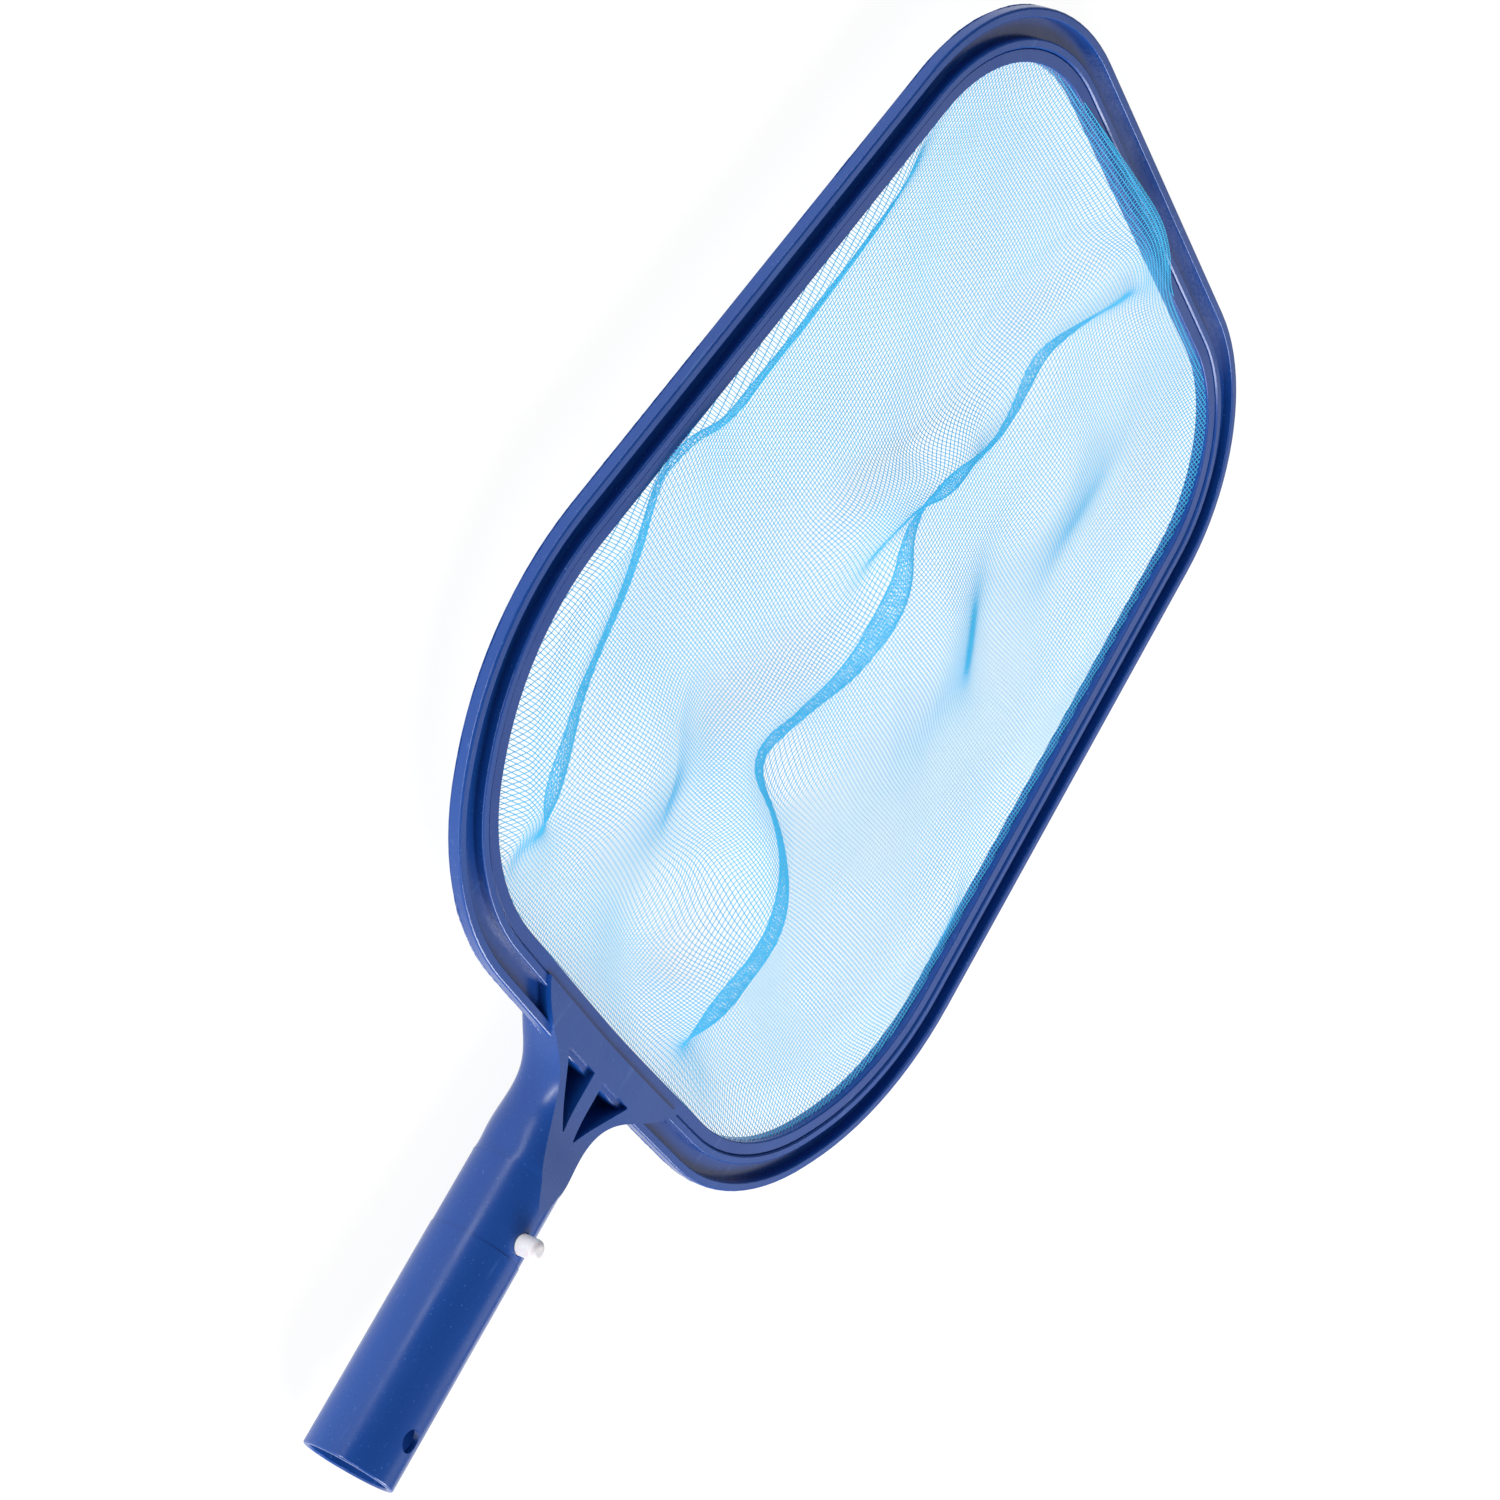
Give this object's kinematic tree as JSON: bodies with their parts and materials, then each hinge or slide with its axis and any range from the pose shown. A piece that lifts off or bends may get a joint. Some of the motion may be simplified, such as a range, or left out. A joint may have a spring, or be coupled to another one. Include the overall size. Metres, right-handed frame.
{
  "type": "leaf skimmer net",
  "caption": "Flat skimmer head: moulded channel hoop with a clamped slack net and a tubular handle that snaps into a pool pole.",
  "frame": {"origin": "centre of the handle tube's open mouth, on the tube's axis", "axes": "+Y from the handle to the far edge of the hoop, +X across, +Z out of the hoop's open front face; the hoop lies level and the tube is tipped up 4.08 degrees towards +Z at its mouth"},
  "size_m": [0.3, 0.4684, 0.037],
  "materials": {
    "frame_plastic": "glossy moulded blue plastic",
    "ring_plastic": "glossy moulded blue plastic",
    "net_thread": "fine woven light cyan mesh",
    "clip_plastic": "white moulded plastic"
  },
  "bodies": {
    "frame": {"hoop_frame": "frame_plastic", "handle_neck": "frame_plastic", "pole_tube": "frame_plastic", "net_retaining_ring": "ring_plastic", "net_mesh": "net_thread", "clip_bend": "clip_plastic", "clip_button_arm": "clip_plastic", "clip_rest_arm": "clip_plastic"},
    "button": {"snap_button": "clip_plastic"}
  },
  "joints": [
    {"name": "snap_button_press", "type": "slide", "parent": "frame", "child": "button", "axis": [0, -0.0711, -0.9975], "range_m": [0, 0.0064], "stiffness_N_per_m": 1200, "springref_m": -0.0025, "deforming": ["clip_button_arm"]}
  ]
}
